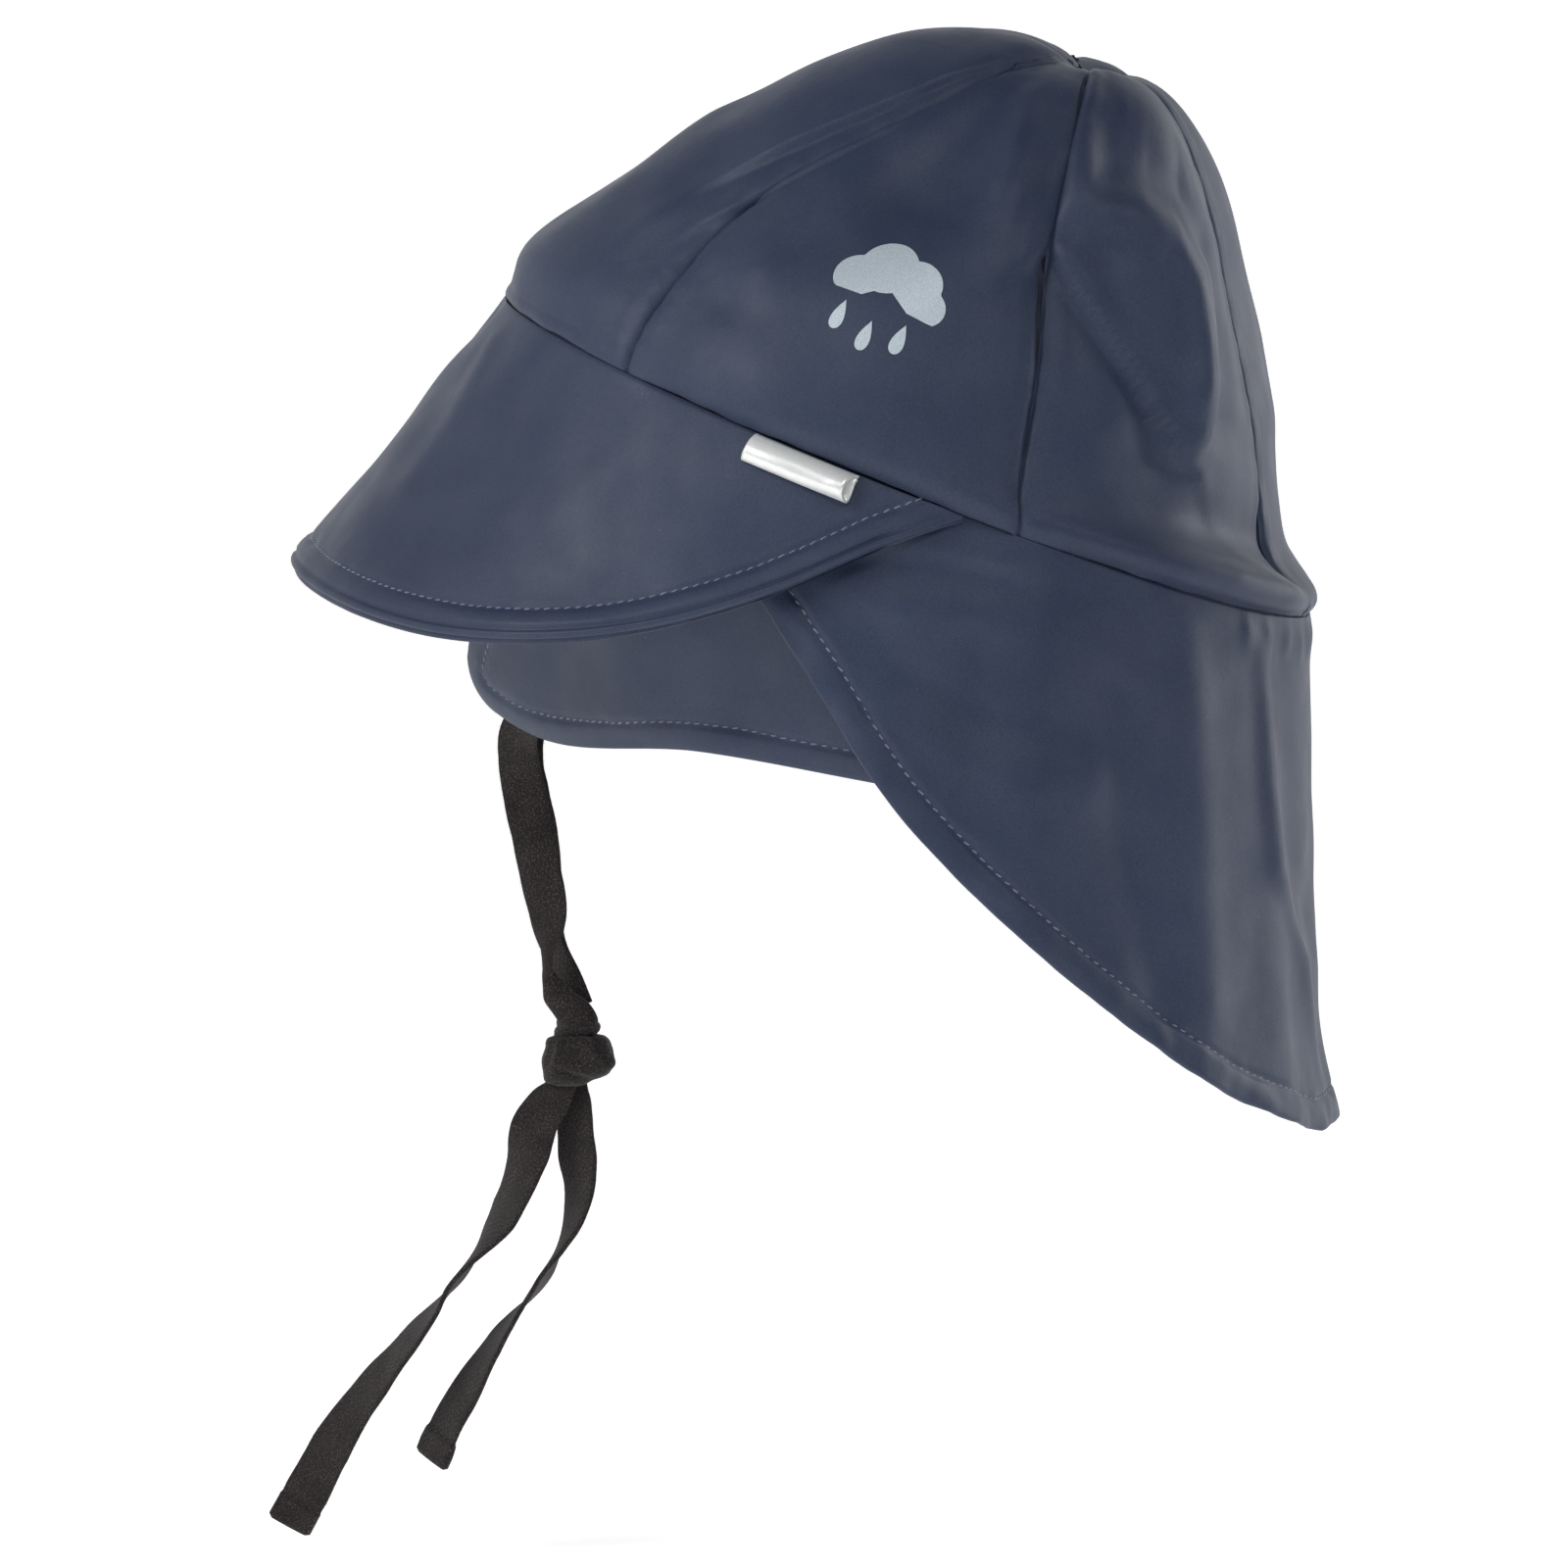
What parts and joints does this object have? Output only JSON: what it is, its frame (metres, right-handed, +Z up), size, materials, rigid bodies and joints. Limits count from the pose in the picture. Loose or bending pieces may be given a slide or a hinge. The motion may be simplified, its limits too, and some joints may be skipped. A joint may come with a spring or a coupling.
{
  "type": "rain hat",
  "caption": "Child's sou'wester rain hat in worn form: panelled crown, sloping peak, long neck flap, inner ear flaps and knotted tape ties.",
  "frame": {"origin": "middle of the head opening, in the plane of the crown's base seam, where the head holds the hat", "axes": "+Z up, the wearer faces -Y, the wearer's left is +X"},
  "size_m": [0.1808, 0.2412, 0.3365],
  "materials": {
    "coated_cloth": "matte polyurethane-coated cloth with a soft sheen",
    "tape": "woven matte tape",
    "label": "smooth silvery ribbon"
  },
  "bodies": {
    "root": {"crown_back_right": "coated_cloth", "crown_side_right": "coated_cloth", "crown_front_right": "coated_cloth", "crown_front_left": "coated_cloth", "crown_side_left": "coated_cloth", "crown_back_left": "coated_cloth", "peak": "coated_cloth", "neck_flap": "coated_cloth", "ear_flap_left": "coated_cloth", "ear_flap_right": "coated_cloth", "side_label": "label", "tie_left": "tape", "tie_right": "tape", "tie_knot": "tape", "tie_tail_long": "tape", "tie_tail_short": "tape"}
  },
  "joints": []
}
